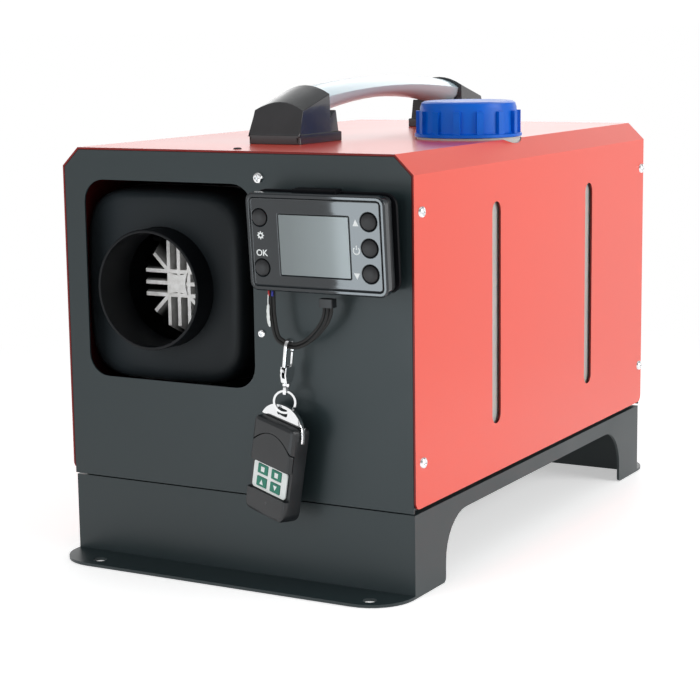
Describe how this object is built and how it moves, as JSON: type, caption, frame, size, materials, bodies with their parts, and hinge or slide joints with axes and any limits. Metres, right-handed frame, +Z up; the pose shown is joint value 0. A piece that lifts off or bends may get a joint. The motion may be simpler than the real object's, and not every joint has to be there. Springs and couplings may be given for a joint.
{
  "type": "diesel air heater",
  "caption": "Portable diesel air heater: folded steel cabinet on a raised base, duct outlet, fuel tank with screw cap, carrying handle, controller and remote.",
  "frame": {"origin": "on the floor under the middle of the cabinet", "axes": "+X to the right seen from the front, +Y from the front panel to the back, +Z up"},
  "size_m": [0.246, 0.4212, 0.2974],
  "materials": {
    "red_paint": "gloss powder coat",
    "black_paint": "satin powder coat",
    "zinc_steel": "zinc-plated",
    "black_plastic": "fine-grained",
    "gloss_black": "polished",
    "rubber": "matt",
    "grip_grey": "satin",
    "milk_plastic": "translucent white",
    "blue_plastic": "satin",
    "cast_aluminium": "as cast",
    "chrome": "polished",
    "white_plastic": "smooth",
    "green_plastic": "smooth",
    "lcd_grey": "clear front over grey"
  },
  "bodies": {
    "heater": {"outer_shell": "red_paint", "front_panel": "black_paint", "rear_panel": "black_paint", "bay_divider": "zinc_steel", "intake_grille": "black_plastic", "base_frame": "black_paint", "base_skirt_left": "black_paint", "base_skirt_right": "black_paint", "floor_pan": "black_paint", "handle_mount_front": "black_plastic", "handle_mount_rear": "black_plastic", "handle_grip": "grip_grey", "fuel_tank": "milk_plastic", "fuel_pump": "zinc_steel", "pump_clamp": "rubber", "fuel_filter": "milk_plastic", "suction_hose": "rubber", "feed_hose": "rubber", "heater_stand": "zinc_steel", "outlet_hood": "black_plastic", "outlet_collar": "black_plastic", "heater_case_upper": "black_plastic", "heater_case_lower": "black_plastic", "heat_exchanger": "cast_aluminium", "burner_tube": "zinc_steel", "glow_plug": "zinc_steel", "blower_motor": "zinc_steel", "control_unit": "black_plastic", "exhaust_pipe": "zinc_steel", "combustion_air_pipe": "zinc_steel", "controller_bezel": "gloss_black", "controller_back": "black_plastic", "controller_bracket": "black_plastic", "lcd_screen": "lcd_grey", "controller_cable": "rubber", "cable_plug": "black_plastic"},
    "cap_seal": {"cap_gasket": "rubber"},
    "filler_cap": {"filler_cap": "blue_plastic"},
    "rotor": {"rotor_shaft": "zinc_steel", "combustion_wheel": "cast_aluminium", "heating_fan": "black_plastic"},
    "button_up": {"button_up": "rubber"},
    "button_power": {"button_power": "rubber"},
    "button_down": {"button_down": "rubber"},
    "button_settings": {"button_settings": "rubber"},
    "button_ok": {"button_ok": "rubber"},
    "clasp": {"clasp_body": "chrome"},
    "clasp_gate": {"clasp_lever": "chrome"},
    "swivel_eye": {"clasp_eye": "chrome"},
    "key_ring": {"split_ring": "chrome"},
    "remote": {"remote_body": "black_plastic", "remote_bow": "chrome", "remote_keypad": "white_plastic"},
    "remote_cover": {"remote_cover": "black_plastic"},
    "remote_button_lock": {"remote_button_lock": "green_plastic"},
    "remote_button_open": {"remote_button_open": "green_plastic"},
    "remote_button_up": {"remote_button_up": "green_plastic"},
    "remote_button_down": {"remote_button_down": "green_plastic"}
  },
  "joints": [
    {"name": "cap_lift", "type": "slide", "parent": "heater", "child": "cap_seal", "axis": [0, 0, 1], "range_m": [0, 0.012]},
    {"name": "cap_turn", "type": "hinge", "parent": "cap_seal", "child": "filler_cap", "pos_m": [0.08, -0.022, 0.27], "axis": [0, 0, 1], "range_deg": [0, 720]},
    {"name": "rotor_spin", "type": "hinge", "parent": "heater", "child": "rotor", "pos_m": [-0.0618, 0.08, 0.172], "axis": [0, 1, 0], "continuous": true},
    {"name": "press_up", "type": "slide", "parent": "heater", "child": "button_up", "axis": [0, 0.9966, 0.0819], "range_m": [0, 0.0005], "stiffness_N_per_m": 600, "springref_m": -0.0004},
    {"name": "press_power", "type": "slide", "parent": "heater", "child": "button_power", "axis": [0, 0.9966, 0.0819], "range_m": [0, 0.0005], "stiffness_N_per_m": 600, "springref_m": -0.0004},
    {"name": "press_down", "type": "slide", "parent": "heater", "child": "button_down", "axis": [0, 0.9966, 0.0819], "range_m": [0, 0.0005], "stiffness_N_per_m": 600, "springref_m": -0.0004},
    {"name": "press_settings", "type": "slide", "parent": "heater", "child": "button_settings", "axis": [0, 0.9966, 0.0819], "range_m": [0, 0.0005], "stiffness_N_per_m": 600, "springref_m": -0.0004},
    {"name": "press_ok", "type": "slide", "parent": "heater", "child": "button_ok", "axis": [0, 0.9966, 0.0819], "range_m": [0, 0.0005], "stiffness_N_per_m": 600, "springref_m": -0.0004},
    {"name": "clasp_swing", "type": "hinge", "parent": "heater", "child": "clasp", "pos_m": [0.0481, -0.1965, 0.1477], "axis": [0.9938, 0, -0.1115], "range_deg": [-50, 0]},
    {"name": "clasp_open", "type": "hinge", "parent": "clasp", "child": "clasp_gate", "pos_m": [0.04621, -0.1965, 0.13081], "axis": [0.9938, 0, -0.1115], "range_deg": [0, 25], "stiffness_Nm_per_rad": 0.01, "springref_deg": -17.19},
    {"name": "eye_swivel", "type": "hinge", "parent": "clasp", "child": "swivel_eye", "pos_m": [0.04543, -0.1965, 0.12385], "axis": [0.1115, 0, 0.9938], "range_deg": [0, 34]},
    {"name": "ring_swing", "type": "hinge", "parent": "swivel_eye", "child": "key_ring", "pos_m": [0.04485, -0.1965, 0.11873], "axis": [-0.2404, 0.9703, 0.027], "range_deg": [0, 20]},
    {"name": "remote_swing", "type": "hinge", "parent": "key_ring", "child": "remote", "pos_m": [0.0443, -0.1965, 0.11381], "axis": [-0.2404, 0.9703, 0.027], "range_deg": [0, 20]},
    {"name": "cover_slide", "type": "slide", "parent": "remote", "child": "remote_cover", "axis": [-0.1501, -0.0097, -0.9886], "range_m": [0, 0.0172]},
    {"name": "press_remote_lock", "type": "slide", "parent": "remote", "child": "remote_button_lock", "axis": [0.3305, 0.9419, -0.0594], "range_m": [0, 0.0004], "stiffness_N_per_m": 300, "springref_m": -0.0003},
    {"name": "press_remote_open", "type": "slide", "parent": "remote", "child": "remote_button_open", "axis": [0.3305, 0.9419, -0.0594], "range_m": [0, 0.0004], "stiffness_N_per_m": 300, "springref_m": -0.0003},
    {"name": "press_remote_up", "type": "slide", "parent": "remote", "child": "remote_button_up", "axis": [0.3305, 0.9419, -0.0594], "range_m": [0, 0.0004], "stiffness_N_per_m": 300, "springref_m": -0.0003},
    {"name": "press_remote_down", "type": "slide", "parent": "remote", "child": "remote_button_down", "axis": [0.3305, 0.9419, -0.0594], "range_m": [0, 0.0004], "stiffness_N_per_m": 300, "springref_m": -0.0003}
  ],
  "couplings": [
    {"joint": "cap_lift", "follows": "cap_turn", "m_per_rad": 0.00095492}
  ]
}
